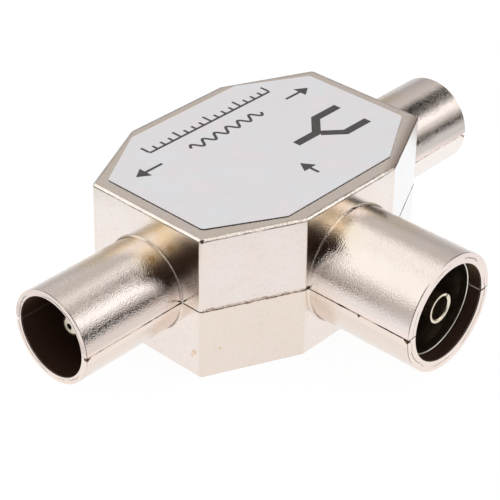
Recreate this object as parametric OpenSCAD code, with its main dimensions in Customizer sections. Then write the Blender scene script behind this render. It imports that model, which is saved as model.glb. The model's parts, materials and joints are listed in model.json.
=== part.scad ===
// Two-way coaxial splitter for aerial leads: one socket in, two plugs out.
// A cast housing in two halves, pressed together, with each tube split along its axis.
// Origin: centre of the flat underside. +Z up, the plugs point along X, the socket along -Y.
// Each port is drawn pointing along +X with the split between the halves at z = 0,
// and is then turned and lifted to its place.

/* [Housing] */
// Length between the two end faces, measured at the split
body_l = 31.9; // [31:0.1:36]
// Width between the two side faces, measured at the split
body_w = 23.5; // [23:0.1:28]
// Width of each end face, from corner to corner
end_face = 14.3; // [13:0.1:16]
// Length of each side face, from corner to corner
side_face = 12.8; // [12:0.1:16]
// Height of the lower half
lower_h = 7.75; // [7.6:0.05:10]
// Height of the upper half
upper_h = 7.9; // [7.6:0.05:10]
// Thickness of the cast walls, roof and floor
wall = 1.5; // [1.2:0.1:1.7]
// Radius of the upright corners
corner_r = 0.4; // [0.2:0.1:1.5]
// Bevel round the top and the underside
edge = 0.15; // [0.1:0.05:0.5]
// Draft of the side faces, in degrees
draft = 0.5; // [0.2:0.1:2]
// Depth of the groove where the halves meet
split_groove = 0.08; // [0.04:0.01:0.2]
// Height of that groove in each half
split_groove_h = 0.07; // [0.04:0.01:0.2]
// Radius of the blend where a tube leaves the housing
root_r = 0.2; // [0.2:0.05:0.6]
// Length of the small chips beside each mouth, along the tube
chip_l = 0.65; // [0.3:0.05:0.9]
// Height of those chips
chip_h = 0.5; // [0.2:0.05:0.7]
// Depth of those chips into the tube's wall
chip_deep = 0.35; // [0.1:0.05:0.5]

/* [Locating posts] */
// Radius of the four posts in each half
post_r = 1.8; // [1.6:0.1:2]
// Distance from the inside of the slanted wall to a post's axis
post_inset = 1.6; // [1.4:0.1:1.8]
// Radius of the pegs on the lower posts
peg_r = 0.75; // [0.6:0.05:0.9]
// Length of a peg above the circuit board
peg_l = 1.8; // [1.2:0.1:2.4]

/* [Output plugs] */
// Outside diameter of the plug tube
plug_d = 9.5; // [9:0.1:10]
// Bore of the plug tube
plug_bore = 8.2; // [7.8:0.1:8.4]
// Length of the plug tube from the end face
plug_l = 12; // [11:0.1:14]
// Depth of the hollow, from the mouth to the insulator
plug_depth = 10; // [8:0.1:10.5]
// Diameter of the centre pin
pin_d = 2.35; // [2.2:0.05:2.5]
// How much further out the pin stands where the insulator grips it
pin_grip = 0.25; // [0.2:0.05:0.4]
// Distance of the pin's tip behind the mouth
pin_recess = 2.25; // [1:0.05:2.6]
// Radius of the round edge of the pin's blunt tip
pin_tip_r = 0.5; // [0.2:0.05:0.8]
// Diameter of the centre mark in the pin's tip
pin_mark_d = 0.6; // [0.3:0.1:1]
// Depth of the centre mark
pin_mark_depth = 0.5; // [0.3:0.1:1]

/* [Input socket] */
// Outside diameter of the socket tube
socket_d = 12.1; // [11.8:0.1:12.6]
// Length of the socket tube from the side face
socket_l = 12; // [11:0.1:14]
// Bore of the lip at the mouth
lip_bore = 10; // [9.8:0.05:10.1]
// Length of the lip
lip_l = 1.3; // [1:0.1:1.4]
// Bore behind the lip, which holds the spring sleeve
socket_bore = 10.3; // [10.2:0.05:10.5]
// Depth of the hollow, from the mouth to the insulator
socket_depth = 10; // [9:0.1:10.5]
// Outside diameter of the centre contact
contact_d = 3.05; // [2.9:0.05:3.4]
// Bore of the centre contact
contact_bore = 2.4; // [2.3:0.05:2.5]
// Depth of that bore
contact_bore_l = 8; // [7:0.1:8.5]
// Distance of the contact's end behind the mouth
contact_recess = 1; // [0.6:0.1:1.5]
// Bevel that leads a pin into the contact
contact_lead = 0.1; // [0.05:0.01:0.15]
// Width of the slit that makes the contact springy
slit_w = 0.2; // [0.1:0.05:0.3]
// Length of that slit
slit_l = 6; // [4:0.1:7]
// Turn of the slit about the contact's axis, in degrees
slit_turn = 50; // [0:5:180]

/* [Spring sleeve] */
// Thickness of the sleeve's sheet
sleeve_t = 0.28; // [0.2:0.01:0.3]
// Distance of the sleeve's edge behind the mouth
sleeve_recess = 1.5; // [1.45:0.05:2]
// Length of the closed ring at the sleeve's root
sleeve_ring_l = 2; // [1.5:0.1:3]
// Length of the closed ring at the sleeve's front
sleeve_front_l = 0.8; // [0.5:0.1:1.2]
// Number of spring fingers
finger_n = 5; // [4:1:6]
// How far the middle of a finger is pressed in
finger_dip = 0.36; // [0.2:0.02:0.5]
// Width of the slots between the fingers
finger_slot = 0.5; // [0.3:0.05:0.8]

/* [Insulators and stems] */
// Thickness of an insulator's flange
flange_t = 1.3; // [1:0.1:1.6]
// How far the flange stands out past the bore
flange_step = 0.7; // [0.5:0.05:0.8]
// Thickness of the cast web behind the flange
web_t = 1; // [0.8:0.1:1.3]
// Thickness of the collar on a pin or contact
collar_t = 0.8; // [0.6:0.1:1]
// How far the collar stands out past the pin or contact
collar_step = 0.6; // [0.4:0.1:0.8]
// Radius of the stem that is soldered to the board
stem_r = 0.75; // [0.6:0.05:0.9]
// Length of stem past the web
stem_land = 1.8; // [1.5:0.1:2.2]

/* [Circuit board] */
// Thickness of the board
board_t = 1; // [0.8:0.1:1.6]
// Thickness of the copper foil on its underside
foil_t = 0.07; // [0.03:0.01:0.1]
// Width of the copper tracks
track_w = 0.8; // [0.5:0.1:1]
// Radius of a lead's copper pad
pad_r = 0.7; // [0.6:0.05:0.8]
// Radius of the holes for leads
lead_hole_r = 0.38; // [0.35:0.01:0.45]
// Length of lead that stands out below the board
lead_end = 0.6; // [0.4:0.1:1]

/* [Coils] */
// Length of a core along its two holes
core_l = 4.4; // [4:0.1:5]
// Width of a core across its two holes
core_w = 5; // [4.4:0.1:5.2]
// Height of a core
core_h = 3; // [2.6:0.1:3.4]
// Radius of a core's holes
core_hole_r = 0.85; // [0.8:0.05:0.95]
// Distance between the two holes
core_pitch = 2.3; // [2.2:0.1:2.4]
// Gap between a core and its neighbour
core_gap = 0.8; // [0.5:0.1:1]
// Radius of the enamelled wire
wire_r = 0.14; // [0.1:0.01:0.15]
// Rise from one turn of wire to the next
turn_rise = 0.36; // [0.32:0.01:0.38]
// Turns of the matching coil
match_turns = 3; // [2:1:3]
// Turns of each splitting coil
split_turns = 2; // [1:1:2]

/* [Small parts] */
// Radius of the resistor at its end caps
resistor_r = 0.9; // [0.7:0.05:1]
// Length of the resistor
resistor_l = 3.6; // [3:0.1:4]
// Distance between the resistor's two holes
resistor_pitch = 6; // [5.6:0.1:6.4]
// Thickness of the disc capacitor
capacitor_t = 1.1; // [0.8:0.1:1.4]
// Gap between the disc capacitor and the roof
roof_gap = 0.85; // [0.6:0.05:1.2]
// Radius of the leads of both
lead_r = 0.25; // [0.2:0.01:0.28]

/* [Label] */
// Length of the label
label_l = 29.1; // [27:0.1:30]
// Width of the label
label_w = 20.7; // [18:0.1:21]
// Width of the label's short ends
label_end = 12.4; // [11:0.1:13]
// Length of the label's long sides
label_side = 14.8; // [13:0.1:15]
// Thickness of the label
label_t = 0.08; // [0.05:0.01:0.2]
// Radius of the label's corners
label_r = 0.5; // [0.2:0.1:1]
// How far off centre the label is stuck, along X
label_x = 0.1; // [-0.4:0.05:0.4]
// How far off centre the label is stuck, along Y
label_y = 0.25; // [-0.4:0.05:0.4]

/* [Hidden] */

$fn = 64;
// Clearance of a piece pressed or slid into its seat
fit_gap = 0.03;
// Clearance between a flange and the web behind it
seat_gap = 0.05;
// Clearance round the board, round the collars and between a stem and the foil above it
board_gap = 0.3;
collar_gap = 0.5;
stem_gap = 0.02;
// How far a stem's copper pad stands out past the stem
stem_pad_rim = 0.45;
// Clearance of the pegs in the board, and below the end of each peg in its hole
peg_gap = 0.1;
peg_end_gap = 0.3;
// Clearance of the solder from what it holds, so that neighbours don't share space
solder_gap = 0.01;
// Least space between small parts on the board
part_gap = 0.4;
// Height of the solder round a lead, and its thickness at the lead's end
solder_h = 0.4;
solder_tip = 0.1;
// How far the legs of the capacitor show under its disc, and their distance as a share of its width
capacitor_lift = 0.5;
leg_share = 0.78;
// Height of the resistor off the board
resistor_lift = 0.1;
// Bend radius of the small parts' legs and of the coils' ends
lead_bend = 0.5;
wire_bend = 0.35;
// How far a tube's root is sunk in the face, which leans back from the split
root_sink = 0.15;
// Overlap of joined bodies and overshoot of cuts
lap = 0.05;
// Slice that stands for an outline inside a hull
slice = 0.01;

half_l = body_l / 2;
half_w = body_w / 2;
plug_r = plug_d / 2;
socket_r = socket_d / 2;
plug_bore_r = plug_bore / 2;
socket_bore_r = socket_bore / 2;
pin_r = pin_d / 2;
contact_r = contact_d / 2;
lower_room = lower_h - wall;
upper_room = upper_h - wall;

// Board height: its copper lies on top of the stems
foil_z = stem_r + stem_gap;
board_z = foil_z + foil_t;
board_top = board_z + board_t;

// Where things lie along a port, for a port whose face is that far from the middle
function wall_in(face) = face - wall;
function flange_in(face) = wall_in(face) - flange_t;
function web_out(face) = flange_in(face) - seat_gap;
function web_in(face) = web_out(face) - web_t;
function stem_in(face) = web_in(face) - stem_land;
function pad_at(face) = stem_in(face) + stem_land / 2;
// Radius of a stem's copper pad, and how near its middle is to the board's edge
stem_pad_r = stem_r + stem_pad_rim;
pad_to_edge = stem_land / 2 - board_gap;

// Places on the board: coils in a row behind the input stem, their leads clear of their turns
lead_x = core_l / 2 + core_pitch / 2 + 2 * wire_r + part_gap;
match_y = -stem_in(half_w) + 2 * part_gap + core_w / 2;
split_y = match_y + core_w + core_gap;
resistor_x = lead_x + 2 * pad_r + part_gap;
capacitor_x = -resistor_x;
capacitor_y = match_y;
// Track that passes behind the splitting coils
back_track_y = split_y + core_pitch / 2 + pad_r + part_gap + track_w / 2;
// The disc fills the height between the board and the roof
capacitor_r = (upper_room - board_top - capacitor_lift - roof_gap) / 2;
capacitor_pitch = 2 * capacitor_r * leg_share;

// Joined outline of the board, the housing and the label: an octagon with round corners
function unit(v) = v / norm(v);
function octagon(l, w, e, s, inset = 0) =
    let (n = unit([w - e, l - s]))
    let (x = l / 2 - inset, y = w / 2 - inset)
    let (ye = e / 2 - inset * (1 - n.x) / n.y, xs = s / 2 - inset * (1 - n.y) / n.x)
    [[x, -ye], [x, ye], [xs, y], [-xs, y], [-x, ye], [-x, -ye], [-xs, -y], [xs, -y]];
function round_corner(a, p, b, r, steps = 6) =
    let (d = unit(p - a), turn = acos(d * unit(b - p)))
    let (centre = p - d * r * tan(turn / 2) + r * [-d.y, d.x], start = atan2(-d.x, d.y))
    [for (i = [0:steps]) centre + r * [cos(start + turn * i / steps), sin(start + turn * i / steps)]];
function rounded(points, r) =
    let (n = len(points))
    [for (i = [0:n - 1]) each round_corner(points[(i + n - 1) % n], points[i], points[(i + 1) % n], r)];

// Post axes: set in from the middle of each slanted wall
slant = unit([body_w - end_face, body_l - side_face]);
post_at = [(body_l + side_face) / 4, (body_w + end_face) / 4] - slant * (wall + post_inset);
post_places = [for (sx = [-1, 1], sy = [-1, 1]) [sx * post_at.x, sy * post_at.y]];
// Above the split a lower post is thinner, to stay clear of the upper half's wall
post_top_r = post_inset - peg_gap;
// The resistor's body ends short of the post behind it
resistor_y = post_at.y - post_r - part_gap - resistor_l / 2;

// Holes for leads: coils, resistor, capacitor
match_pads = [for (s = [-1, 1]) [-lead_x, match_y + s * core_pitch / 2]];
split_pads_left = [for (s = [-1, 1]) [-lead_x, split_y + s * core_pitch / 2]];
split_pads_right = [for (s = [-1, 1]) [lead_x, split_y + s * core_pitch / 2]];
resistor_pads = [for (s = [-1, 1]) [resistor_x, resistor_y + s * resistor_pitch / 2]];
capacitor_pads = [for (s = [-1, 1]) [capacitor_x, capacitor_y + s * capacitor_pitch / 2]];
coil_pads = concat(match_pads, split_pads_left, split_pads_right);
part_pads = concat(resistor_pads, capacitor_pads);
stem_pads = [[0, -pad_at(half_w)], [-pad_at(half_l), 0], [pad_at(half_l), 0]];

// A path with its corners rounded, and the rings of points of a wire along it
function bent(points, bend, end_bend, steps = 5) =
    let (n = len(points))
    [
        points[0],
        for (i = [1:n - 2])
            let (r = (i == 1 || i == n - 2) ? end_bend : bend)
            let (d1 = unit(points[i] - points[i - 1]), d2 = unit(points[i + 1] - points[i]))
            let (a = points[i] - d1 * r, b = points[i] + d2 * r)
            for (k = [0:steps])
                let (u = k / steps)
                a * (1 - u) * (1 - u) + points[i] * 2 * u * (1 - u) + b * u * u,
        points[n - 1]
    ];
function flat_to(v, t) = unit(v - (v * t) * t);
function wire_rings(path, r, sides) =
    let (n = len(path))
    let (along = [for (i = [0:n - 1]) unit(path[min(i + 1, n - 1)] - path[max(i - 1, 0)])])
    let (start = flat_to([1, 0, 0.01], along[0]))
    let (side = [for (i = 0, u = start; i < n; i = i + 1, u = flat_to(u, along[min(i, n - 1)])) u])
    [
        for (i = [0:n - 1], k = [0:sides - 1])
            let (turn = 360 * k / sides)
            path[i] + r * (cos(turn) * side[i] + sin(turn) * cross(along[i], side[i]))
    ];

module wire(path, r, sides = 8) {
    n = len(path);
    walls = [
        for (i = [0:n - 2], k = [0:sides - 1])
            let (a = i * sides + k, b = i * sides + (k + 1) % sides)
            each [[a, a + sides, b], [b, a + sides, b + sides]]
    ];
    start_cap = [for (k = [0:sides - 1]) k];
    end_cap = [for (k = [sides - 1:-1:0]) (n - 1) * sides + k];
    polyhedron(wire_rings(path, r, sides), concat(walls, [start_cap, end_cap]), convexity = 6);
}

module at_split() translate([0, 0, lower_h]) children();
module at_ports() {
    for (turn = [0, 180]) rotate([0, 0, turn]) children(0);
    rotate([0, 0, -90]) children(1);
}
module left_port() at_split() rotate([0, 0, 180]) children();
module right_port() at_split() children();
module in_port() at_split() rotate([0, 0, -90]) children();
// Round bodies along +X, from a start to an end
module rod(r, from, to) translate([from, 0, 0]) rotate([0, 90, 0]) cylinder(r = r, h = to - from);
module revolved() rotate([0, 90, 0]) rotate_extrude() children();
module band(r, from, to) translate([0, from]) square([r, to - from]);

module outline(inset = 0) polygon(rounded(octagon(body_l, body_w, end_face, side_face, inset), corner_r));

// Outside of one half, from the split upward: groove, drafted sides and bevel
module block(h) {
    shrink = (h - edge) * tan(draft);
    linear_extrude(split_groove_h + lap) outline(split_groove);
    hull() {
        translate([0, 0, split_groove_h]) linear_extrude(slice) outline();
        translate([0, 0, h - edge - slice]) linear_extrude(slice) outline(shrink);
        translate([0, 0, h - slice]) linear_extrude(slice) outline(shrink + edge);
    }
}

module tube(r, face, length) {
    rod(r, face - wall / 2, face + length);
    // Blend at the root, sunk a little because the face leans back from the split
    revolved() difference() {
        translate([r - lap, face - root_sink]) square([root_r + lap, root_r + root_sink]);
        translate([r + root_r, face + root_r]) circle(root_r);
    }
}

module tube_grooves(r, face, length)
    for (s = [-1, 1])
        translate([face + root_r, s > 0 ? r - split_groove : -r - 1, -lap])
            cube([length, 1 + split_groove, split_groove_h + lap]);

module web(bore_r, face, room)
    translate([web_in(face), -bore_r - flange_step, 0])
        cube([web_t, 2 * (bore_r + flange_step), room + lap]);

module plug_hollow() {
    rod(plug_bore_r, wall_in(half_l) - lap, half_l + plug_l + lap);
    rod(pin_r + collar_step + collar_gap, web_in(half_l) - lap, web_out(half_l) + lap);
}

module socket_hollow() {
    mouth = half_w + socket_l;
    rod(lip_bore / 2, mouth - lip_l - lap, mouth + lap);
    rod(socket_bore_r, wall_in(half_w) - lap, mouth - lip_l);
    rod(contact_r + collar_step + collar_gap, web_in(half_w) - lap, web_out(half_w) + lap);
}

// One half of the casting, open side down at z = 0
module half_shell(h, post_start) {
    room = h - wall;
    difference() {
        union() {
            difference() {
                intersection() {
                    union() {
                        block(h);
                        at_ports() {
                            tube(plug_r, half_l, plug_l);
                            tube(socket_r, half_w, socket_l);
                        }
                    }
                    translate([-body_l - plug_l, -body_w - socket_l, 0])
                        cube([2 * (body_l + plug_l), 2 * (body_w + socket_l), h]);
                }
                translate([0, 0, -lap]) linear_extrude(room + lap)
                    polygon(octagon(body_l, body_w, end_face, side_face, wall));
            }
            at_ports() {
                web(plug_bore_r, half_l, room);
                web(socket_bore_r, half_w, room);
            }
            for (p = post_places) translate([p.x, p.y, post_start])
                cylinder(r = post_r, h = room + lap - post_start);
        }
        at_ports() {
            plug_hollow();
            socket_hollow();
        }
        at_ports() {
            tube_grooves(plug_r, half_l, plug_l);
            tube_grooves(socket_r, half_w, socket_l);
        }
    }
}

// Small three-cornered chips in the lower half, beside each mouth
module mouth_chips(r, mouth)
    for (s = [-1, 1])
        translate([mouth, s * r, 0]) rotate([90, 0, 0])
            linear_extrude(2 * chip_deep, center = true)
                polygon([
                    [lap, lap], [-chip_l, lap], [-chip_l, 0],
                    [-chip_l / 3, -chip_h], [lap, -chip_h / 2]
                ]);

module upper_shell() color("#cfc6bd") at_split() difference() {
    half_shell(upper_h, board_top);
    for (p = post_places) translate([p.x, p.y, board_top - lap])
        cylinder(r = peg_r + fit_gap, h = lap + peg_l + peg_end_gap);
}

module lower_shell() color("#cfc6bd") at_split() {
    difference() {
        mirror([0, 0, 1]) half_shell(lower_h, 0);
        at_ports() {
            mouth_chips(plug_r, half_l + plug_l);
            mouth_chips(socket_r, half_w + socket_l);
        }
    }
    // The posts rise past the split to carry the board, and their pegs go through it
    for (p = post_places) translate([p.x, p.y, -lap]) {
        cylinder(r = post_top_r, h = foil_z + lap);
        cylinder(r = peg_r, h = board_top + peg_l + lap);
    }
}

module top_label() color("#dcd9db")
    translate([label_x, label_y, lower_h + upper_h])
        linear_extrude(label_t)
            polygon(rounded(octagon(label_l, label_w, label_end, label_side), label_r));

// Collar behind the insulator and stem to the board, as a profile of radius and distance
module stem_profile(r, face) {
    band(r + collar_step, flange_in(face) - collar_t, flange_in(face));
    band(stem_r, stem_in(face), flange_in(face));
}

module out_pin() {
    tip = half_l + plug_l - pin_recess;
    color("#d8d2c8") revolved() difference() {
        union() {
            stem_profile(pin_r, half_l);
            band(pin_r + pin_grip, flange_in(half_l) - lap, half_l + plug_l - plug_depth);
            band(pin_r, flange_in(half_l) - lap, tip - pin_tip_r);
            band(pin_r - pin_tip_r, flange_in(half_l) - lap, tip);
            translate([pin_r - pin_tip_r, tip - pin_tip_r]) intersection() {
                circle(pin_tip_r);
                square(pin_tip_r);
            }
        }
        band(pin_mark_d / 2, tip - pin_mark_depth, tip + lap);
    }
}
module out_pin_left() left_port() out_pin();
module out_pin_right() right_port() out_pin();

// Insulator: a nose in the bore and a flange held between the wall and the web
module insulator(bore_r, hole_r, face, front) color("#26241f") revolved() difference() {
    union() {
        band(bore_r - fit_gap, wall_in(face) - lap, front);
        band(bore_r + flange_step, flange_in(face), wall_in(face));
    }
    band(hole_r + fit_gap, flange_in(face) - lap, front + lap);
}
module out_insulator()
    insulator(plug_bore_r, pin_r + pin_grip, half_l, half_l + plug_l - plug_depth);
module out_insulator_left() left_port() out_insulator();
module out_insulator_right() right_port() out_insulator();
module in_insulator() in_port()
    insulator(socket_bore_r, contact_r, half_w, half_w + socket_l - socket_depth);

module in_contact() color("#d8d2c8") in_port() {
    tip = half_w + socket_l - contact_recess;
    difference() {
        revolved() difference() {
            union() {
                stem_profile(contact_r, half_w);
                band(contact_r, flange_in(half_w) - lap, tip);
            }
            band(contact_bore / 2, tip - contact_bore_l, tip + lap);
            polygon([
                [0, tip - contact_lead], [contact_bore / 2, tip - contact_lead],
                [contact_bore / 2 + contact_lead + lap, tip + lap], [0, tip + lap]
            ]);
        }
        rotate([slit_turn, 0, 0])
            translate([tip - slit_l, 0, -slit_w / 2])
                cube([slit_l + lap, contact_r + lap, slit_w]);
    }
}

// Spring sleeve: a closed ring at each end, and between them fingers whose middles are pressed in
module in_spring_sleeve() color("#b9b0a4") in_port() {
    root = half_w + socket_l - socket_depth;
    front = half_w + socket_l - sleeve_recess;
    ring_r = socket_bore_r - fit_gap;
    around = 12 * finger_n;
    finger_l = front - root - sleeve_ring_l - sleeve_front_l;
    // Distance along the sleeve and share of the dip there
    stations = [
        [root, 0],
        for (u = [0:0.125:1]) [root + sleeve_ring_l + u * finger_l, sin(180 * u)],
        [front, 0]
    ];
    points = [
        for (st = stations, layer = [0, 1], k = [0:around - 1])
            let (turn = 360 * k / around)
            let (dip = finger_dip * st[1] * (1 + cos(finger_n * turn)) / 2)
            let (r = ring_r - layer * sleeve_t - dip)
            [st[0], r * cos(turn), r * sin(turn)]
    ];
    at = function (s, layer, k) (s * 2 + layer) * around + k % around;
    last = len(stations) - 1;
    faces = [
        for (k = [0:around - 1]) each concat(
            [for (s = [0:last - 1]) each [
                [at(s, 0, k), at(s, 0, k + 1), at(s + 1, 0, k)],
                [at(s, 0, k + 1), at(s + 1, 0, k + 1), at(s + 1, 0, k)],
                [at(s, 1, k), at(s + 1, 1, k), at(s, 1, k + 1)],
                [at(s, 1, k + 1), at(s + 1, 1, k), at(s + 1, 1, k + 1)]
            ]],
            [
                [at(0, 0, k), at(0, 1, k), at(0, 0, k + 1)],
                [at(0, 0, k + 1), at(0, 1, k), at(0, 1, k + 1)],
                [at(last, 0, k), at(last, 0, k + 1), at(last, 1, k)],
                [at(last, 0, k + 1), at(last, 1, k + 1), at(last, 1, k)]
            ]
        )
    ];
    difference() {
        polyhedron(points, faces, convexity = 6);
        for (k = [0:finger_n - 1]) rotate([(k + 0.5) * 360 / finger_n, 0, 0])
            translate([root + sleeve_ring_l, 0, -finger_slot / 2])
                cube([finger_l, socket_r, finger_slot]);
    }
}

// The housing's outline cut short at the plugs, with a notch for the socket's web
module board_outline() {
    reach = web_in(half_l) - board_gap;
    front = post_at.y + post_r;
    notch = socket_bore_r + flange_step + board_gap;
    difference() {
        intersection() {
            polygon(octagon(body_l, body_w, end_face, side_face, wall + board_gap));
            translate([-reach, -front]) square([2 * reach, front + half_w]);
        }
        translate([-notch, -half_w]) square([2 * notch, half_w - web_in(half_w) + board_gap]);
    }
}

module board_holes() {
    for (p = post_places) translate(p) circle(peg_r + peg_gap);
    for (p = concat(coil_pads, part_pads)) translate(p) circle(lead_hole_r);
}

module circuit_board() color("#a8793f") at_split() translate([0, 0, board_z])
    linear_extrude(board_t) difference() {
        board_outline();
        board_holes();
    }

module track(points)
    for (i = [0:len(points) - 2]) {
        step = points[i + 1] - points[i];
        translate(points[i]) rotate(atan2(step.y, step.x))
            translate([0, -track_w / 2]) square([norm(step), track_w]);
        translate(points[i]) circle(track_w / 2);
        translate(points[i + 1]) circle(track_w / 2);
    }

// Copper on the underside: input to matching coil to the middle of the splitting coils,
// their far ends to the two outputs, the resistor across the outputs, the rest earth
module copper_shapes() {
    for (p = concat(coil_pads, part_pads)) translate(p) circle(pad_r);
    for (p = stem_pads) translate(p) circle(stem_pad_r);
    for (p = post_places) translate(p) circle(post_r);
    track([stem_pads[0], match_pads[0], capacitor_pads[0]]);
    track([capacitor_pads[1], post_places[0]]);
    track([match_pads[1], split_pads_left[0], split_pads_right[0]]);
    track([split_pads_left[1], stem_pads[1]]);
    track([split_pads_right[1], stem_pads[2], resistor_pads[0]]);
    track([split_pads_left[1], [-core_l / 2, back_track_y], [resistor_x, back_track_y], resistor_pads[1]]);
}

module copper_tracks() color("#b87333") at_split() translate([0, 0, foil_z])
    linear_extrude(foil_t) difference() {
        intersection() {
            board_outline();
            copper_shapes();
        }
        board_holes();
    }

// Two-hole ferrite core, lying on the board with its holes along X
module core(y) color("#3a3836") at_split() translate([0, y, board_top]) difference() {
    translate([-core_l / 2, 0, 0]) rotate([90, 0, 90]) linear_extrude(core_l) union() {
        flat = (core_w - core_h) / 2;
        translate([-flat, 0]) square([2 * flat, core_h]);
        for (s = [-1, 1]) translate([s * flat, core_h / 2]) circle(core_h / 2);
    }
    for (s = [-1, 1]) translate([0, s * core_pitch / 2, core_h / 2])
        rod(core_hole_r, -core_l / 2 - lap, core_l / 2 + lap);
}
module match_core() core(match_y);
module split_core() core(split_y);

// A coil that starts and ends at -X and climbs from one turn to the next
function coil_points(turns, low) =
    let (y = core_pitch / 2, x = core_l / 2 + y, foot = -core_h / 2 - board_t - foil_t - lead_end)
    let (high = low + (turns - 1) * turn_rise)
    [
        [-lead_x, -y, foot],
        [-lead_x, -y, low],
        for (k = [0:turns - 1]) each concat(
            k == 0 ? [] : [[-x, y, low + (k - 1) * turn_rise], [-x, -y, low + k * turn_rise]],
            [[x, -y, low + k * turn_rise], [x, y, low + k * turn_rise]]
        ),
        [-lead_x, y, high],
        [-lead_x, y, foot]
    ];
module coil(turns, low)
    wire(bent(coil_points(turns, low), core_pitch / 2 - fit_gap, wire_bend), wire_r);
module on_core(y) at_split() translate([0, y, board_top + core_h / 2]) children();

module match_winding() color("#b5562c") on_core(match_y)
    coil(match_turns, -turn_rise * (match_turns - 1) / 2);
module split_winding_left() color("#b5562c") on_core(split_y)
    coil(split_turns, -turn_rise * (split_turns - 0.5));
module split_winding_right() color("#3f7a4a") on_core(split_y) rotate([0, 0, 180])
    coil(split_turns, turn_rise / 2);

// Waisted body with a rounded cap at each end, on one wire bent down into the board
module balance_resistor() color("#7fb0c4") at_split() {
    z = board_top + resistor_lift + resistor_r;
    half = resistor_pitch / 2;
    waist = resistor_r * 0.8;
    cap = resistor_l / 5;
    soft = cap / 4;
    translate([resistor_x, resistor_y, z]) rotate([90, 0, 0]) rotate_extrude() {
        translate([0, -resistor_l / 2]) square([waist, resistor_l]);
        for (s = [-1, 1]) translate([0, s * (resistor_l - cap) / 2]) {
            translate([0, soft - cap / 2]) square([resistor_r, cap - 2 * soft]);
            translate([0, -cap / 2]) square([resistor_r - soft, cap]);
            for (t = [-1, 1]) translate([resistor_r - soft, t * (cap / 2 - soft)]) circle(soft);
        }
    }
    foot = foil_z - lead_end;
    translate([resistor_x, resistor_y, 0]) wire(bent([
        [0, -half, foot], [0, -half, z], [0, half, z], [0, half, foot]
    ], lead_bend, lead_bend), lead_r);
}

module input_capacitor() color("#c9863c") at_split() {
    z = board_top + capacitor_lift + capacitor_r;
    rim = capacitor_t / 2;
    translate([capacitor_x, capacitor_y, z]) rotate([0, 90, 0]) rotate_extrude() {
        translate([0, -rim]) square([capacitor_r - rim, capacitor_t]);
        translate([capacitor_r - rim, 0]) intersection() {
            circle(rim);
            translate([-rim / 2, -rim]) square([2 * rim, 2 * rim]);
        }
    }
    for (p = capacitor_pads) translate([p.x, p.y, foil_z - lead_end])
        cylinder(r = lead_r, h = z - foil_z + lead_end);
}

// Solder round the three stems, hanging from their copper pads
module stem_solder_joints() color("#b8bcc0") at_split() for (p = stem_pads) {
    turn = atan2(p.y, p.x);
    rotate([0, 0, turn]) translate([norm(p), 0, 0]) difference() {
        intersection() {
            translate([0, 0, foil_z]) sphere(r = stem_pad_r);
            translate([-pad_to_edge, -stem_pad_r, -stem_r])
                cube([2 * pad_to_edge, 2 * stem_pad_r, foil_z + stem_r]);
        }
        rod(stem_r + solder_gap, -2 * stem_pad_r, 2 * stem_pad_r);
    }
}

// Solder round the lead ends below the board
module lead_solder(pads, r) for (p = pads) translate([p.x, p.y, foil_z - solder_h]) difference() {
    cylinder(r1 = r + solder_tip, r2 = pad_r - lap, h = solder_h);
    translate([0, 0, -lap]) cylinder(r = r + solder_gap, h = solder_h + 2 * lap);
}
module lead_solder_joints() color("#b8bcc0") at_split() {
    lead_solder(coil_pads, wire_r);
    lead_solder(part_pads, lead_r);
}

upper_shell();
lower_shell();
top_label();
out_pin_left();
out_pin_right();
out_insulator_left();
out_insulator_right();
in_contact();
in_insulator();
in_spring_sleeve();
circuit_board();
copper_tracks();
match_core();
match_winding();
split_core();
split_winding_left();
split_winding_right();
balance_resistor();
input_capacitor();
stem_solder_joints();
lead_solder_joints();
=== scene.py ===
import json
import math
import random

import bmesh
import bpy
from mathutils import Matrix, Vector


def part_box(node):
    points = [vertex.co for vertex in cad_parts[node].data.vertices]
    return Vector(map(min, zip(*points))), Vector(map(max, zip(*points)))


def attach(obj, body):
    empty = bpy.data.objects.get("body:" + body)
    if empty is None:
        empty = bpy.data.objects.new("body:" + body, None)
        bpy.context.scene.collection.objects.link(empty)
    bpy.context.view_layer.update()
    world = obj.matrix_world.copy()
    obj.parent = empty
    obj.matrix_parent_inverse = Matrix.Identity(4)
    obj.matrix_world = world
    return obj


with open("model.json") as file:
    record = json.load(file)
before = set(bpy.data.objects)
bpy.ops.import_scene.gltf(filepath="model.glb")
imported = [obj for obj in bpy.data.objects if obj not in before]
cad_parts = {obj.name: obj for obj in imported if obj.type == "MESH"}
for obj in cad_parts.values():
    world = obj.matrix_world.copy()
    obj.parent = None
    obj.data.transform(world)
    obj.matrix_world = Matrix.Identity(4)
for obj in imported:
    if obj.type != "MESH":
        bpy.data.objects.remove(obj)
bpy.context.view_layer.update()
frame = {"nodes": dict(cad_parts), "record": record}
print("splitter: frame loaded,", len(frame["nodes"]), "nodes")

mm = 0.001
scene = bpy.context.scene
random.seed(7)


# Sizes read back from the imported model, so that looks stay tied to it
def mountOf(name):
    return next(m for m in frame["record"]["mounts"] if m["name"] == name)


upperLow, upperHigh = (Vector(corner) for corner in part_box("upper_shell"))
labelLow, labelHigh = (Vector(corner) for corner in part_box("top_label"))
splitZ = mountOf("out_left_plug")["pos_m"][2]
plugR = mountOf("out_left_plug")["dims"]["r_mm"] * mm
plugMouth = upperHigh.x  # the plugs' rims stand at +X and -X of this
socketMouth = -upperLow.y  # the socket's rim stands at -Y of this
tubeL = 12 * mm
socketR = 6.05 * mm
plugBoreR = 4.1 * mm
socketBoreR = 5.15 * mm
bodyHalfW = socketMouth - tubeL
bodyHalfL = plugMouth - tubeL
topZ = upperHigh.z
endHalfW = 7.15 * mm
sideHalfL = 6.4 * mm

# Outward direction of the slanted side at the front right, and how far out it stands
slantX, slantY = Vector((bodyHalfW - endHalfW, -(bodyHalfL - sideHalfL))).normalized()
slantFar = slantX * bodyHalfL - slantY * endHalfW


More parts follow.
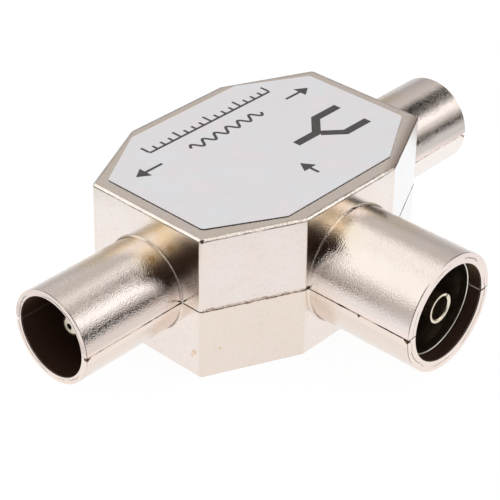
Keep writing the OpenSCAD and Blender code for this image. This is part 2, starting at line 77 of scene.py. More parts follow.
# Short ways to build shader nodes
class Graph:
    def __init__(self, tree):
        self.tree = tree

    def add(self, kind, **settings):
        node = self.tree.nodes.new(kind)
        for key, value in settings.items():
            setattr(node, key, value)
        return node

    def plug(self, socket, value):
        if isinstance(value, bpy.types.NodeSocket):
            self.tree.links.new(value, socket)
        elif value is not None:
            socket.default_value = value

    def calc(self, operation, a, b=None, c=None, clamp=False):
        node = self.add("ShaderNodeMath", operation=operation, use_clamp=clamp)
        for socket, value in zip(node.inputs, (a, b, c)):
            self.plug(socket, value)
        return node.outputs[0]

    def ramp(self, value, low, high, outLow=0.0, outHigh=1.0, smooth=True):
        node = self.add("ShaderNodeMapRange", interpolation_type="SMOOTHSTEP" if smooth else "LINEAR")
        for socket, item in zip(node.inputs, (value, low, high, outLow, outHigh)):
            self.plug(socket, item)
        return node.outputs[0]

    def mix(self, factor, a, b, blend="MIX"):
        node = self.add("ShaderNodeMix", data_type="RGBA", blend_type=blend)
        self.plug(node.inputs["Factor"], factor)
        self.plug(node.inputs[6], a)
        self.plug(node.inputs[7], b)
        return node.outputs[2]

    def noise(self, where, scale, detail=2.0, rough=0.5, warp=0.0):
        node = self.add("ShaderNodeTexNoise")
        self.plug(node.inputs["Vector"], where)
        self.plug(node.inputs["Scale"], scale)
        node.inputs["Detail"].default_value = detail
        node.inputs["Roughness"].default_value = rough
        node.inputs["Distortion"].default_value = warp
        return node.outputs["Fac"]

    def stretch(self, where, scale, turn=(0, 0, 0)):
        node = self.add("ShaderNodeMapping")
        self.plug(node.inputs["Vector"], where)
        node.inputs["Scale"].default_value = scale
        node.inputs["Rotation"].default_value = turn
        return node.outputs[0]

    def place(self):
        return self.add("ShaderNodeTexCoord").outputs["Object"]

    def parts(self, vector):
        node = self.add("ShaderNodeSeparateXYZ")
        self.plug(node.inputs[0], vector)
        return node.outputs[0], node.outputs[1], node.outputs[2]

    def group(self, tree, **values):
        node = self.add("ShaderNodeGroup", node_tree=tree)
        for key, value in values.items():
            self.plug(node.inputs[key], value)
        return node


kinds = {"value": "NodeSocketFloat", "colour": "NodeSocketColor", "vector": "NodeSocketVector"}


def newGroup(name, inputs, outputs):
    tree = bpy.data.node_groups.new(name, "ShaderNodeTree")
    for key, (kind, value) in inputs.items():
        socket = tree.interface.new_socket(name=key, in_out="INPUT", socket_type=kinds[kind])
        socket.default_value = value
    for key, kind in outputs.items():
        tree.interface.new_socket(name=key, in_out="OUTPUT", socket_type=kinds[kind])
    graph = Graph(tree)
    return graph, graph.add("NodeGroupInput").outputs, graph.add("NodeGroupOutput").inputs


# Fine grain of a blasted or cast skin, over a slow swell
def makeGrainGroup():
    g, given, out = newGroup("skinGrain", {"Grain Size": ("value", 0.15), "Swell": ("value", 0.3)},
                             {"Height": "value", "Speckle": "value"})
    where = g.place()
    perMetre = g.calc("DIVIDE", 1000.0, given["Grain Size"])
    fine = g.noise(where, perMetre, 0.0)
    slow = g.noise(where, 420.0, 2.0, 0.5)
    g.plug(out["Height"], g.calc("ADD", fine, g.calc("MULTIPLY", slow, given["Swell"])))
    g.plug(out["Speckle"], g.ramp(fine, 0.3, 0.7))
    return g.tree


# Hairline scratches in one direction
def makeScratchGroup():
    g, given, out = newGroup("fineScratches", {"Amount": ("value", 0.3)}, {"Mask": "value"})
    where = g.place()
    lines = None
    for turn, scale in (((0.3, 0.5, 0.4), 2600.0), ((1.1, 0.2, 2.0), 3400.0)):
        streak = g.noise(g.stretch(where, (0.05, 1.0, 1.0), turn), scale, 1.0, 0.4)
        line = g.ramp(streak, 0.66, 0.74)
        lines = line if lines is None else g.calc("MAXIMUM", lines, line)
    patches = g.ramp(g.noise(where, 160.0, 1.0), 0.45, 0.7)
    g.plug(out["Mask"], g.calc("MULTIPLY", g.calc("MULTIPLY", lines, patches), given["Amount"]))
    return g.tree


# Loose dust and small stains
def makeDustGroup():
    g, given, out = newGroup("dustSpecks", {"Amount": ("value", 0.5), "Size": ("value", 0.4)}, {"Mask": "value"})
    where = g.place()
    perMetre = g.calc("DIVIDE", 1000.0, given["Size"])
    specks = g.ramp(g.noise(where, perMetre, 3.0, 0.6), 0.68, 0.78)
    g.plug(out["Mask"], g.calc("MULTIPLY", specks, given["Amount"]))
    return g.tree


# Dark uneven line where the two halves meet, fainter toward the ends of the plugs
def makeSeamGroup():
    g, given, out = newGroup("splitSeam", {"Width": ("value", 0.1)}, {"Mask": "value", "Burr": "value", "Line": "value"})
    where = g.place()
    x, y, z = g.parts(where)
    wander = g.calc("MULTIPLY", g.calc("SUBTRACT", g.noise(where, 500.0, 3.0, 0.6), 0.5), 0.14 * mm)
    level = g.calc("SUBTRACT", z, splitZ)
    away = g.calc("ABSOLUTE", g.calc("SUBTRACT", level, wander))
    thick = g.ramp(g.noise(where, 300.0, 4.0, 0.7), 0.3, 0.75, 0.12, 1.0)
    reach = g.calc("MULTIPLY", g.calc("MULTIPLY", given["Width"], mm), thick)
    pastEnd = g.calc("SUBTRACT", g.calc("ABSOLUTE", x), bodyHalfL)
    nearRoot = g.ramp(pastEnd, 3 * mm, 5.5 * mm, 1.9, 1.0)
    nearRoot = g.ramp(g.calc("GREATER_THAN", pastEnd, 0.1 * mm), 0.0, 1.0, 1.0, nearRoot)
    reach = g.calc("MULTIPLY", reach, nearRoot)
    onSocket = g.ramp(y, -bodyHalfW - 1 * mm, -bodyHalfW, 1.4, 1.0)
    onFarSlant = g.ramp(g.calc("MULTIPLY", g.ramp(x, 7 * mm, 8 * mm), g.calc("LESS_THAN", x, bodyHalfL)), 0.0, 1.0, 1.0, 1.7)
    reach = g.calc("MULTIPLY", reach, g.calc("MULTIPLY", onSocket, onFarSlant))
    line = g.ramp(g.calc("DIVIDE", away, reach), 0.55, 1.15, 1.0, 0.0)
    fade = g.ramp(g.calc("ABSOLUTE", x), bodyHalfL + 2 * mm, bodyHalfL + 9 * mm, 1.0, 0.45)
    broken = g.ramp(g.noise(where, 1500.0, 2.0, 0.6), 0.42, 0.56, g.ramp(g.calc("ABSOLUTE", x), bodyHalfL, bodyHalfL + 3 * mm, 1.0, 0.3), 1.0)
    right = g.ramp(x, bodyHalfL, bodyHalfL + 1 * mm, 1.0, 0.5)
    right = g.calc("MULTIPLY", right, g.ramp(x, plugMouth - 1.2 * mm, plugMouth - 0.6 * mm, 1.0, 0.0))
    fade = g.calc("MULTIPLY", g.calc("MULTIPLY", fade, broken), right)
    fade = g.calc("MULTIPLY", fade, g.ramp(g.calc("ABSOLUTE", pastEnd), 0.03 * mm, 0.07 * mm, 0.15, 1.0))
    slantFront = g.calc("MULTIPLY", g.calc("LESS_THAN", x, -sideHalfL + 0.1 * mm), g.calc("LESS_THAN", y, -endHalfW - 0.1 * mm))
    slantFront = g.calc("MULTIPLY", slantFront, g.calc("GREATER_THAN", x, -bodyHalfL - 0.1 * mm))
    burr = g.calc("SUBTRACT", level, g.calc("MULTIPLY", g.calc("SUBTRACT", g.noise(where, 900.0, 3.0, 0.7), 0.35), 0.5 * mm))
    burr = g.ramp(g.calc("ABSOLUTE", burr), 0.1 * mm, 0.26 * mm, 1.0, 0.0)
    burr = g.calc("MULTIPLY", burr, g.ramp(g.noise(where, 2600.0, 3.0, 0.7), 0.4, 0.58, 0.25, 1.2))
    g.plug(out["Burr"], g.calc("MULTIPLY", burr, slantFront))
    thin = g.ramp(g.noise(where, 1200.0, 2.0, 0.6), 0.4, 0.6, 0.0, 0.25)
    fade = g.calc("MULTIPLY", fade, g.ramp(slantFront, 0.0, 1.0, 1.0, thin))
    g.plug(out["Mask"], g.calc("MULTIPLY", line, fade))
    g.plug(out["Line"], g.calc("MULTIPLY", g.ramp(g.calc("ABSOLUTE", level), 0.05 * mm, 0.1 * mm, 1.0, 0.0),
                                 g.ramp(y, -bodyHalfW - 1 * mm, -bodyHalfW, 1.0, 0.12)))
    return g.tree


# Where a point lies on the three tubes: distance from the axis and distance behind the mouth
def tubePlaces(g, place):
    x, y, z = g.parts(place)
    up = g.calc("SUBTRACT", z, splitZ)

    def fromAxis(aside):
        return g.calc("SQRT", g.calc("ADD", g.calc("MULTIPLY", aside, aside), g.calc("MULTIPLY", up, up)))

    return ((fromAxis(y), g.calc("SUBTRACT", plugMouth, g.calc("ABSOLUTE", x)), plugR, plugBoreR),
            (fromAxis(x), g.calc("ADD", socketMouth, y), socketR, socketBoreR))


# Inside of the three mouths, which the casting material colours dark
def makeMouthGroup():
    g, given, out = newGroup("mouthInside", {"Edge": ("value", 0.05)}, {"Mask": "value"})
    masks = []
    for radius, behind, outer, bore in tubePlaces(g, g.place()):
        near = g.calc("LESS_THAN", radius, g.calc("ADD", bore, g.calc("MULTIPLY", given["Edge"], mm)))
        short = g.calc("LESS_THAN", behind, tubeL + 2 * mm)
        masks.append(g.calc("MULTIPLY", g.calc("MULTIPLY", near, short), g.ramp(behind, 0.0, 0.2 * mm)))
    g.plug(out["Mask"], g.calc("MAXIMUM", *masks))
    return g.tree


# Wavy cast marks on the rims, and a dark broken line of painted shade round each rim's outer corner
def makeRimGroup():
    g, given, out = newGroup("rimMarks", {"Amount": ("value", 1.0)}, {"Mask": "value"})
    where = g.place()
    x = g.parts(where)[0]
    wander = g.calc("MULTIPLY", g.calc("SUBTRACT", g.noise(where, 420.0, 3.0, 0.6), 0.5), 0.9 * mm)
    broken = g.ramp(g.noise(where, 330.0, 2.0, 0.5), 0.42, 0.56)
    cornerBreaks = g.ramp(g.noise(where, 210.0, 2.0, 0.6), 0.38, 0.55)
    masks = []
    for radius, behind, outer, bore in tubePlaces(g, where):
        middle = g.calc("ADD", outer * 0.4 + bore * 0.6, wander)
        line = g.ramp(g.calc("ABSOLUTE", g.calc("SUBTRACT", radius, middle)), 0.025 * mm, 0.08 * mm, 1.0, 0.0)
        onRim = g.calc("LESS_THAN", g.calc("ABSOLUTE", behind), 0.01 * mm)
        masks.append(g.calc("MULTIPLY", g.calc("MULTIPLY", line, onRim), g.calc("MULTIPLY", broken, 0.85)))
        # Painted shade line round the outer corner of each rim
        onWall = g.calc("MULTIPLY", g.calc("GREATER_THAN", radius, outer - 0.03 * mm), g.calc("LESS_THAN", x, bodyHalfL))
        corner = g.ramp(g.calc("ABSOLUTE", g.calc("SUBTRACT", behind, 0.07 * mm)), 0.02 * mm, 0.07 * mm, 1.0, 0.0)
        masks.append(g.calc("MULTIPLY", g.calc("MULTIPLY", corner, onWall), cornerBreaks))
    total = masks[0]
    for mask in masks[1:]:
        total = g.calc("MAXIMUM", total, mask)
    g.plug(out["Mask"], g.calc("MULTIPLY", total, given["Amount"]))
    return g.tree


# Painted reflections and shade where end faces and tubes mirror each other: a painted dark reflection beside a root,
# painted golden light above it, painted shade dimming the root's blend and darkening the tube near its root
def makeRootGroup():
    g, given, out = newGroup("rootShade", {"Reach": ("value", 5.0)},
                             {"Painted Root Shade": "value", "Painted Gold Light": "value", "Painted Ring Shade": "value", "Painted Tube Shade": "value", "Normal": "vector"})
    where = g.place()
    x, y, z = g.parts(where)
    facingX, facingY, facingZ = g.parts(g.add("ShaderNodeNewGeometry").outputs["True Normal"])
    up = g.calc("SUBTRACT", z, splitZ)
    upper = g.ramp(up, -0.4 * mm, 0.1 * mm, 0.2, 1.0)
    normal = g.add("ShaderNodeNewGeometry").outputs["Normal"]
    grit = g.ramp(g.noise(where, 2400.0, 3.0, 0.7), 0.35, 0.62, 0.45, 1.0)
    fineGrit = g.ramp(g.noise(where, 7000.0, 1.0, 0.6), 0.35, 0.65, 0.7, 1.0)
    totals = [None] * 4
    places = zip(tubePlaces(g, where), (y, x), (facingX, facingY), (endHalfW, sideHalfL))
    for (radius, behind, outer, bore), side, facing, half in places:
        past = g.calc("SUBTRACT", radius, outer)
        rise = g.calc("DIVIDE", up, radius)
        across = g.calc("DIVIDE", side, radius)
        level = g.calc("LESS_THAN", g.calc("ABSOLUTE", g.calc("SUBTRACT", behind, tubeL)), 0.45 * mm)
        onFace = g.calc("MULTIPLY", level, g.calc("GREATER_THAN", g.calc("ABSOLUTE", facing), 0.97))
        reach = g.calc("MULTIPLY", given["Reach"], mm)
        near = g.calc("MULTIPLY", onFace, g.ramp(past, 1.5 * mm, reach, 1.0, 0.0))
        nearDark = g.calc("MULTIPLY", onFace, g.ramp(past, 3 * mm, g.calc("MULTIPLY", reach, 1.5), 1.0, 0.0))
        outward = g.calc("DIVIDE", side, -half)
        # Painted dark reflection on the end face beside the root
        beside = g.calc("MULTIPLY", g.ramp(up, 0.2 * mm, 2.6 * mm), g.ramp(up, 6.6 * mm, 7.7 * mm, 1.0, 0.35))
        dark = g.calc("MULTIPLY", g.calc("MULTIPLY", nearDark, beside), g.ramp(outward, 0.3, 0.85))
        dark = g.calc("MULTIPLY", dark, fineGrit)
        onTube = g.calc("MULTIPLY", g.ramp(behind, tubeL - 4.5 * mm, tubeL), g.calc("LESS_THAN", past, 0.1 * mm))
        # Painted golden light on the face above the root and on the tube's top near it
        goldLightFace = g.calc("MULTIPLY", g.calc("MULTIPLY", near, g.ramp(outward, -0.1, 0.4)), g.ramp(up, 4 * mm, 7 * mm))
        goldLightTube = g.calc("MULTIPLY", g.ramp(rise, 0.65, 0.85), g.ramp(across, -0.45, 0.1, 1.0, 0.0))
        goldLightTop = g.calc("MULTIPLY", g.ramp(behind, tubeL - 8.5 * mm, tubeL - 5 * mm), g.calc("LESS_THAN", past, 0.1 * mm))
        goldLightTop = g.calc("MULTIPLY", g.calc("MULTIPLY", goldLightTop, g.ramp(rise, 0.6, 0.8)), g.ramp(across, -0.05, 0.2, 0.0, 0.7))
        goldLightTube = g.calc("MAXIMUM", g.calc("MULTIPLY", g.calc("MULTIPLY", goldLightTube, onTube), 0.8), goldLightTop)
        goldLight = g.calc("MAXIMUM", g.calc("MULTIPLY", goldLightFace, g.calc("SUBTRACT", 1.0, dark)), goldLightTube)
        goldLight = g.calc("MULTIPLY", goldLight, 1.0 if half == endHalfW else 0.65)
        blend = g.calc("MULTIPLY", g.calc("GREATER_THAN", past, -0.01 * mm), g.calc("LESS_THAN", past, 0.15 * mm))
        blend = g.calc("MULTIPLY", blend, g.calc("LESS_THAN", g.calc("ABSOLUTE", g.calc("SUBTRACT", behind, tubeL)), 0.25 * mm))
        # Painted shade that dims the blend at the root
        ring = g.calc("MULTIPLY", g.calc("GREATER_THAN", past, 0.14 * mm), g.calc("LESS_THAN", past, 0.21 * mm))
        ring = g.calc("MULTIPLY", g.calc("MULTIPLY", ring, level), upper)
        radial = g.add("ShaderNodeCombineXYZ")
        g.plug(radial.inputs[1 if half == endHalfW else 0], across)
        g.plug(radial.inputs[2], rise)
        turned = g.add("ShaderNodeMix", data_type="VECTOR")
        level = g.calc("MULTIPLY", g.ramp(rise, -0.2, 0.1), g.ramp(across, -0.2, 0.2, 1.0, 0.0))
        g.plug(turned.inputs["Factor"], g.calc("MULTIPLY", blend, g.ramp(level, 0.0, 1.0, 0.4, 0.78)))
        if half == endHalfW:
            ring = g.calc("MAXIMUM", ring, g.calc("MULTIPLY", g.calc("MULTIPLY", blend, level), 2.2))
        g.plug(turned.inputs[4], normal)
        g.plug(turned.inputs[5], radial.outputs[0])
        normal = turned.outputs[1]
        # Painted shade on the tube's side near its root
        belt = g.calc("MULTIPLY", g.ramp(rise, 0.2, 0.5), g.ramp(rise, 0.7, 0.9, 1.0, 0.0))
        closeBy = g.calc("MULTIPLY", g.ramp(behind, tubeL - 2.8 * mm, tubeL - 0.6 * mm), g.calc("LESS_THAN", past, 0.1 * mm))
        paintedTubeShade = g.calc("MULTIPLY", g.calc("MULTIPLY", belt, closeBy), g.ramp(across, -0.3, 0.0, 1.0, 0.0))
        paintedTubeShade = g.calc("MULTIPLY", paintedTubeShade, grit)
        if half == sideHalfL:
            crest = g.calc("MULTIPLY", g.ramp(behind, tubeL - 4 * mm, tubeL - 1.5 * mm), g.calc("GREATER_THAN", rise, 0.5))
            crest = g.calc("MULTIPLY", crest, g.calc("LESS_THAN", past, 0.1 * mm))
            crest = g.calc("MULTIPLY", crest, g.ramp(g.calc("ABSOLUTE", g.calc("SUBTRACT", across, 0.3)), 0.05, 0.2, 0.85, 0.0))
            paintedTubeShade = g.calc("MAXIMUM", paintedTubeShade, crest)
        for i, mask in enumerate((dark, goldLight, ring, paintedTubeShade)):
            totals[i] = mask if totals[i] is None else g.calc("MAXIMUM", totals[i], mask)
    for key, mask in zip(("Painted Root Shade", "Painted Gold Light", "Painted Ring Shade", "Painted Tube Shade"), totals):
        g.plug(out[key], mask)
    g.plug(out["Normal"], normal)
    return g.tree


# Painted shade of a thin dark line under the bevel of the top and a crease line on the top, the bevel's painted
# highlight, the painted shade on the top's sloping front, and small pits at set places
def makeEdgeGroup():
    g, given, out = newGroup("edgeLine", {"Bevel": ("value", 0.15), "Width": ("value", 0.06)},
                             {"Mask": "value", "Grit": "value", "Bevel Highlight": "value", "Slope": "value", "Round": "value", "Warm": "value"})
    where = g.place()
    x, y, z = g.parts(where)
    level = g.calc("SUBTRACT", topZ, g.calc("MULTIPLY", g.calc("ADD", given["Bevel"], given["Width"]), mm))
    wander = g.calc("MULTIPLY", g.calc("SUBTRACT", g.noise(where, 700.0, 2.0, 0.6), 0.5), 0.08 * mm)
    away = g.calc("ABSOLUTE", g.calc("ADD", g.calc("SUBTRACT", z, level), wander))
    reach = g.calc("MULTIPLY", given["Width"], mm)
    breaks = g.ramp(g.noise(where, 600.0, 3.0, 0.7), 0.3, 0.62, 0.2, 1.0)
    # Painted shade: a dark line under the bevel of the top
    line = g.calc("MULTIPLY", g.ramp(g.calc("DIVIDE", away, reach), 0.4, 1.2, 1.0, 0.0), breaks)
    besideX = g.calc("ABSOLUTE", x)
    besideY = g.calc("ABSOLUTE", y)
    slanted = g.calc("SUBTRACT", g.calc("MULTIPLY", besideX, slantX), g.calc("MULTIPLY", besideY, slantY))
    outline = g.calc("MAXIMUM", g.calc("SUBTRACT", besideX, bodyHalfL), g.calc("SUBTRACT", besideY, bodyHalfW))
    outline = g.calc("MAXIMUM", outline, g.calc("SUBTRACT", slanted, slantFar))
    rim = g.ramp(g.calc("ADD", outline, wander), -0.31 * mm, -0.2 * mm)
    rim = g.calc("MULTIPLY", rim, g.calc("GREATER_THAN", z, g.calc("SUBTRACT", topZ, g.calc("MULTIPLY", given["Bevel"], mm))))
    # Painted shade: a crease line on the top near its outline
    crease = g.ramp(g.calc("ABSOLUTE", g.calc("ADD", outline, 0.37 * mm)), 0.01 * mm, 0.08 * mm, 0.4, 0.0)
    crease = g.calc("MULTIPLY", g.calc("MULTIPLY", crease, breaks), g.calc("GREATER_THAN", z, topZ - 0.05 * mm))
    inward = g.calc("SUBTRACT", slantFar, g.calc("ADD", g.calc("MULTIPLY", x, slantX), g.calc("MULTIPLY", y, slantY)))
    crease = g.calc("MULTIPLY", crease, g.calc("GREATER_THAN", inward, 1 * mm))
    g.plug(out["Mask"], g.calc("MAXIMUM", line, crease))
    grit = g.ramp(g.noise(where, 5200.0, 1.0, 0.6), 0.46, 0.58)
    grit = g.calc("MULTIPLY", grit, g.ramp(x, -15 * mm, -8 * mm, 0.25, 1.0))
    g.plug(out["Round"], rim)
    flatPlace = g.add("ShaderNodeCombineXYZ")
    g.plug(flatPlace.inputs[0], besideX)
    g.plug(flatPlace.inputs[1], besideY)
    ragged = g.calc("MULTIPLY", g.calc("SUBTRACT", g.noise(where, 800.0, 3.0, 0.6), 0.5), 1.2 * mm)
    warm = None
    for corner in ((bodyHalfL, endHalfW, 0), (sideHalfL, bodyHalfW, 0)):
        away = g.add("ShaderNodeVectorMath", operation="DISTANCE")
        g.plug(away.inputs[0], flatPlace.outputs[0])
        away.inputs[1].default_value = corner
        mask = g.ramp(g.calc("ADD", away.outputs["Value"], ragged), 0.1 * mm, 0.9 * mm, 0.7, 0.0)
        warm = mask if warm is None else g.calc("MAXIMUM", warm, mask)
    nearSplit = g.ramp(g.calc("ADD", g.calc("ABSOLUTE", g.calc("SUBTRACT", z, splitZ)), ragged), 0.1 * mm, 0.9 * mm, 0.8, 0.0)
    g.plug(out["Warm"], g.calc("MAXIMUM", warm, nearSplit))
    g.plug(out["Grit"], g.calc("MULTIPLY", rim, grit))
    # Painted highlight on the bevel wherever there is no grit
    g.plug(out["Bevel Highlight"], g.calc("MULTIPLY", rim, g.calc("SUBTRACT", 1.0, grit)))
    # Painted shade on the top's sloping front, darkest at its brink
    onTop = g.calc("GREATER_THAN", z, topZ - 0.16 * mm)
    paintedSlopeShade = g.calc("MULTIPLY", g.ramp(inward, 0.0, 1.25 * mm, 0.72, 0.0), onTop)
    brink = g.calc("MULTIPLY", g.ramp(inward, 0.12 * mm, 0.34 * mm, 1.0, 0.0), onTop)
    g.plug(out["Slope"], g.calc("MAXIMUM", paintedSlopeShade, brink))
    return g.tree


def makePitGroup(pits):
    g, given, out = newGroup("castPits", {"Amount": ("value", 1.0)}, {"Mask": "value"})
    where = g.place()
    ragged = g.calc("MULTIPLY", g.calc("SUBTRACT", g.noise(where, 2500.0, 2.0, 0.5), 0.5), 0.35 * mm)
    total = None
    for spot, reach in pits:
        away = g.add("ShaderNodeVectorMath", operation="DISTANCE")
        g.plug(away.inputs[0], where)
        away.inputs[1].default_value = spot
        mask = g.ramp(g.calc("ADD", away.outputs["Value"], ragged), reach * 0.6, reach, 1.0, 0.0)
        total = mask if total is None else g.calc("MAXIMUM", total, mask)
    g.plug(out["Mask"], g.calc("MULTIPLY", total, given["Amount"]))
    return g.tree


grainGroup = makeGrainGroup()
scratchGroup = makeScratchGroup()
dustGroup = makeDustGroup()
seamGroup = makeSeamGroup()
mouthGroup = makeMouthGroup()
rimGroup = makeRimGroup()
edgeGroup = makeEdgeGroup()
rootGroup = makeRootGroup()
print("splitter: effect groups built")


def newMaterial(name, **values):
    material = bpy.data.materials.new(name)
    material.use_nodes = True
    g = Graph(material.node_tree)
    shader = material.node_tree.nodes["Principled BSDF"]
    for key, value in values.items():
        shader.inputs[key.replace("_", " ")].default_value = value
    return material, g, shader


def rgb(r, g, b):
    return (r, g, b, 1.0)


def addBump(g, shader, height, depth, strength=1.0, normal=None):
    bump = g.add("ShaderNodeBump")
    g.plug(bump.inputs["Normal"], normal)
    bump.inputs["Strength"].default_value = strength
    bump.inputs["Distance"].default_value = depth
    g.plug(bump.inputs["Height"], height)
    g.plug(shader.inputs["Normal"], bump.outputs["Normal"])


# Nickel plate on the castings
castingLook = {
    "upper": rgb(0.83, 0.755, 0.715),
    "lower": rgb(0.83, 0.725, 0.645),
    "worn": rgb(0.62, 0.53, 0.45),
    "seam": rgb(0.05, 0.038, 0.03),
    "burr": rgb(0.34, 0.245, 0.19),
    "inside": rgb(0.05, 0.022, 0.012),
    "insideLit": rgb(0.26, 0.17, 0.075),
    "paintedRootShade": rgb(0.13, 0.09, 0.065),
    "paintedGoldLight": rgb(0.82, 0.64, 0.35),
    "paintedTubeShade": rgb(0.16, 0.15, 0.155),
    "flat": rgb(0.95, 0.885, 0.845),
    "paintedBevelHighlight": rgb(1.0, 0.97, 0.93),
    "pink": rgb(0.86, 0.72, 0.69),
    "cream": rgb(0.82, 0.72, 0.6),
    "rim": rgb(0.95, 0.81, 0.74),
    "paintedFarPlugLight": rgb(0.97, 0.92, 0.9),
    "underside": rgb(0.68, 0.57, 0.51),
    "cool": rgb(0.93, 0.93, 0.95),
    "paintedSlopeShade": rgb(0.2, 0.14, 0.11),
    "stain": rgb(0.7, 0.44, 0.2),
    "seamInside": rgb(0.75, 0.66, 0.56),
    "speck": rgb(0.16, 0.11, 0.075),
    "roughness": 0.1,
    "grainSize": 0.118,
    "grainDepth": 0.018 * mm,
    "bevel": 0.15,
    "stains": [
        (Vector((-bodyHalfL, -6.3 * mm, 2.8 * mm)), 0.34 * mm),
        (Vector((-bodyHalfL, -6 * mm, 2.25 * mm)), 0.24 * mm),
        (Vector((-14.2 * mm, -8 * mm, 3.1 * mm)), 0.2 * mm),
        (Vector((-17.14 * mm, -2.13 * mm, 12.00 * mm)), 0.45 * mm),
        (Vector((2.4 * mm, -bodyHalfW, 2.2 * mm)), 0.45 * mm),
        (Vector((9.5 * mm, bodyHalfW, 4.4 * mm)), 0.4 * mm),
    ],
    "pits": [
        (Vector((-bodyHalfL + 0.2 * mm, -7.25 * mm, topZ - 0.13 * mm)), 0.26 * mm),
        (Vector((-6.15 * mm, -bodyHalfW, splitZ + 0.12 * mm)), 0.17 * mm),
        (Vector((-5.8 * mm, -bodyHalfW - 0.1 * mm, splitZ + 0.1 * mm)), 0.15 * mm),
        (Vector((-8.95 * mm, -2.71 * mm, topZ)), 0.16 * mm),
        (Vector((-3.3 * mm, -18.6 * mm, splitZ - 5.1 * mm)), 0.1 * mm),
        (Vector((-socketR, -17.9 * mm, splitZ - 0.1 * mm)), 0.16 * mm),
    ],
}
pitGroup = makePitGroup(castingLook["pits"])
stainGroup = makePitGroup(castingLook["stains"])


